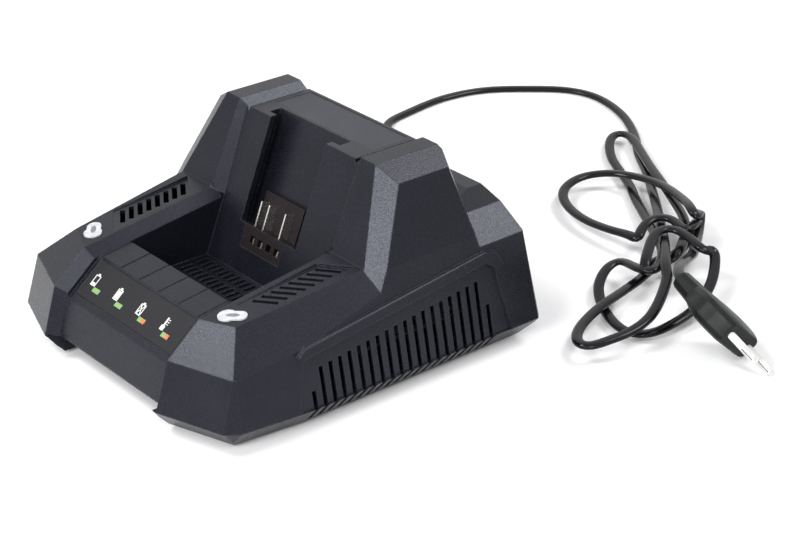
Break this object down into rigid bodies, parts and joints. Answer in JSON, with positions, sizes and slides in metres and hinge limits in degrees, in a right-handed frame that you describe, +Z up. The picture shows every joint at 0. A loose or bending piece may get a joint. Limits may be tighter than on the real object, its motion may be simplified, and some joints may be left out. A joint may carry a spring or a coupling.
{
  "type": "power tool battery charger",
  "caption": "Bench charger: wedge housing with a sloping battery bay between two arms, vented sides, status panel, internal fan and a flat mains lead tied in a hank.",
  "frame": {"origin": "centre of the housing's footprint, on the surface it stands on (mains lead left out)", "axes": "+Z up, -Y towards the front with the status panel, +X to the right seen from the front"},
  "size_m": [0.3577, 0.427, 0.101],
  "materials": {
    "housing": "fine textured",
    "plate": "satin",
    "label": "satin",
    "lens": "clear",
    "terminal": "matt",
    "contact": "plated",
    "board": "lacquered",
    "screw": "zinc plated",
    "ferrite": "matt",
    "winding": "taped",
    "capacitor": "sleeved",
    "heat_sink": "bare",
    "component": "moulded",
    "fan": "moulded",
    "rubber": "matt",
    "lead": "glossy",
    "wire": "satin",
    "pin": "nickel plated",
    "sleeve": "satin"
  },
  "bodies": {
    "charger": {"top_housing": "housing", "bottom_housing": "housing", "top_plate": "plate", "label_panel": "label", "status_window_1": "lens", "status_window_2": "lens", "status_window_3": "lens", "status_window_4": "lens", "left_lens": "lens", "right_lens": "lens", "terminal_block": "terminal", "power_blades": "contact", "signal_contacts": "contact", "led_board": "board", "status_leds": "component", "led_board_screws": "screw", "main_board": "board", "board_screws": "screw", "transformer_core": "ferrite", "transformer_winding": "winding", "mains_capacitor": "capacitor", "output_capacitors": "capacitor", "choke": "ferrite", "heat_sink": "heat_sink", "power_transistors": "component", "fuse": "component", "fan_frame": "fan", "cord_clamp": "housing", "clamp_screws": "screw", "cord_gland": "rubber", "mains_leads": "lead", "terminal_leads": "wire", "foot_front_left": "rubber", "foot_front_right": "rubber", "foot_rear_left": "rubber", "foot_rear_right": "rubber", "housing_screws": "screw", "cord_run": "lead", "cord_hank": "lead", "plug_body": "lead", "plug_pins": "pin", "plug_sleeves": "sleeve"},
    "fan": {"fan_rotor": "fan"}
  },
  "joints": [
    {"name": "fan_spin", "type": "hinge", "parent": "charger", "child": "fan", "pos_m": [0.055, 0.036, 0.0366], "axis": [1, 0, 0], "continuous": true}
  ]
}
